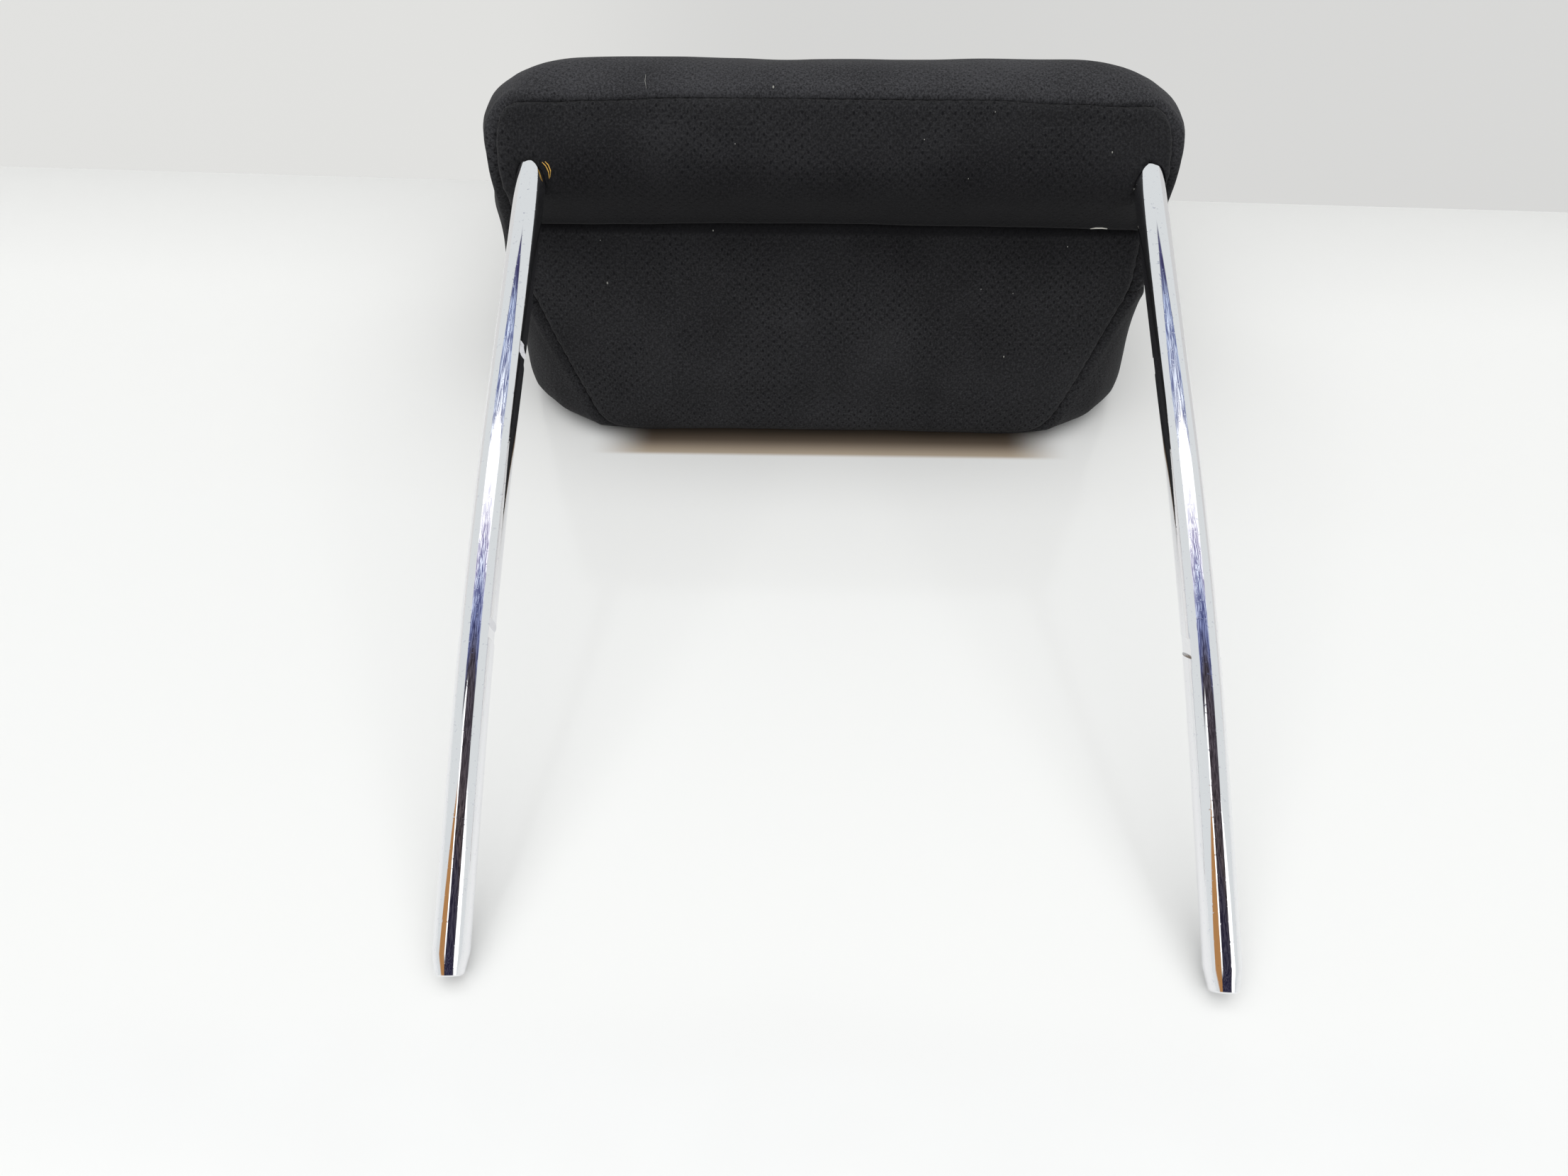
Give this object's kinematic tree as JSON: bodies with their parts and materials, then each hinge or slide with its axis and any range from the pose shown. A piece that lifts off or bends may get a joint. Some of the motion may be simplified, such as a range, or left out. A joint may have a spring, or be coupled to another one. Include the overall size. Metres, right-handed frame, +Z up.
{
  "type": "car headrest",
  "caption": "Wedge-shaped rear-seat car headrest with a dark knit cover on a foam pad, carried by a bent chromed steel bar whose legs plug into the seat back.",
  "frame": {"origin": "middle of the whole outline in X and Y, on the surface that the head face lies on", "axes": "+Z up from the head face, -Y towards the ends of the legs, +X to the right seen from the ends of the legs"},
  "size_m": [0.245, 0.3894, 0.1325],
  "materials": {
    "chrome": "bright chrome plate with fine handling scratches",
    "foam": "yellowed moulded polyurethane foam, open-celled",
    "cloth": "charcoal foam-backed knit with rows of small pin-dots, slightly worn",
    "strip": "natural extruded plastic, satin"
  },
  "bodies": {
    "root": {"post_frame": "chrome", "foam_core": "foam", "cover_base_panel": "cloth", "cover_lip_panel": "cloth", "cover_back_panel": "cloth", "cover_front_panel": "cloth", "closure_upper_strip": "strip", "closure_lower_strip": "strip"}
  },
  "joints": []
}
